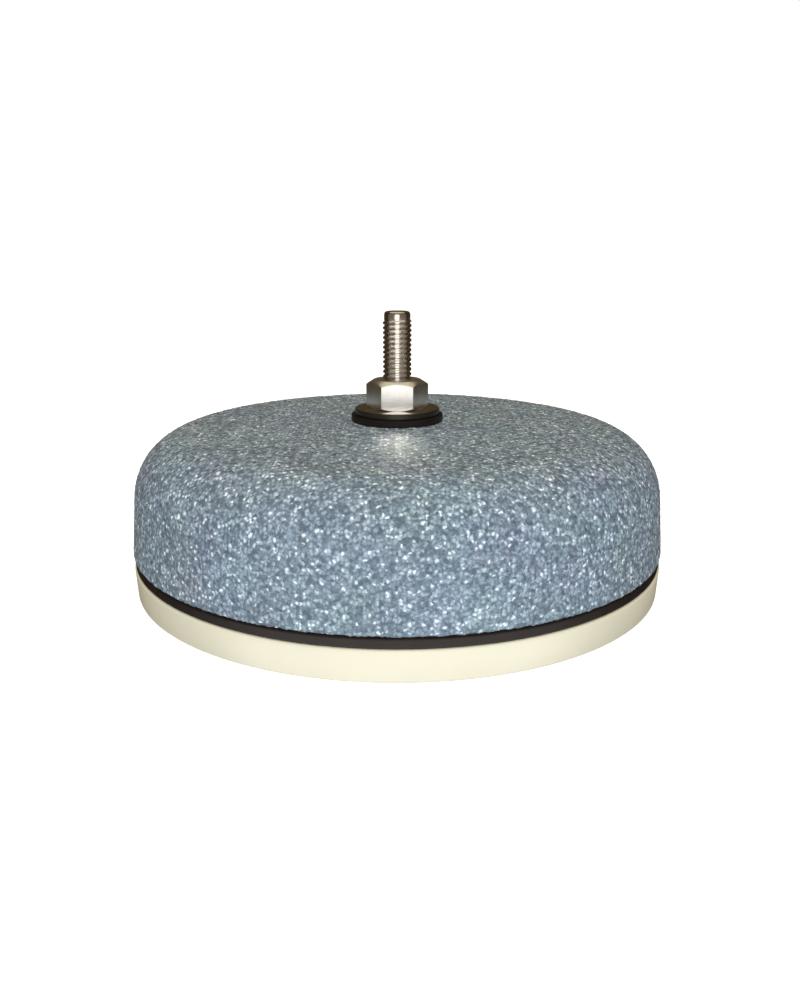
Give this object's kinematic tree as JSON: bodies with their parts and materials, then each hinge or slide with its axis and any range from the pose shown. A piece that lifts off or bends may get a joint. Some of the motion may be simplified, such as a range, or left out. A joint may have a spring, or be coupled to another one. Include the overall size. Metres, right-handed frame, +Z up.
{
  "type": "fine bubble dome diffuser",
  "caption": "Fine bubble dome diffuser for aeration tanks: porous ceramic dome on a rubber ring and a moulded plastic base with a threaded air inlet, held by one centre bolt",
  "frame": {"origin": "on the axis of the bolt and the dome, in the plane of the base's rim", "axes": "+Z up along the bolt, from the threaded inlet to the bolt's point; +X points to a corner of the nut and -Y to a flat of the nut"},
  "size_m": [0.178, 0.178, 0.0889],
  "materials": {
    "porous_ceramic": "bonded grains, blue grey with pale glinting grains, rough and open pored",
    "black_rubber": "moulded black rubber, satin",
    "ivory_plastic": "moulded ivory plastic, semi gloss",
    "stainless_steel": "bright turned stainless steel"
  },
  "bodies": {
    "root": {"ceramic_dome": "porous_ceramic", "rim_gasket": "black_rubber", "base_plate": "ivory_plastic", "inlet_seal": "black_rubber", "centre_bolt": "stainless_steel", "rubber_washer": "black_rubber", "steel_washer": "stainless_steel", "top_nut": "stainless_steel"}
  },
  "joints": []
}
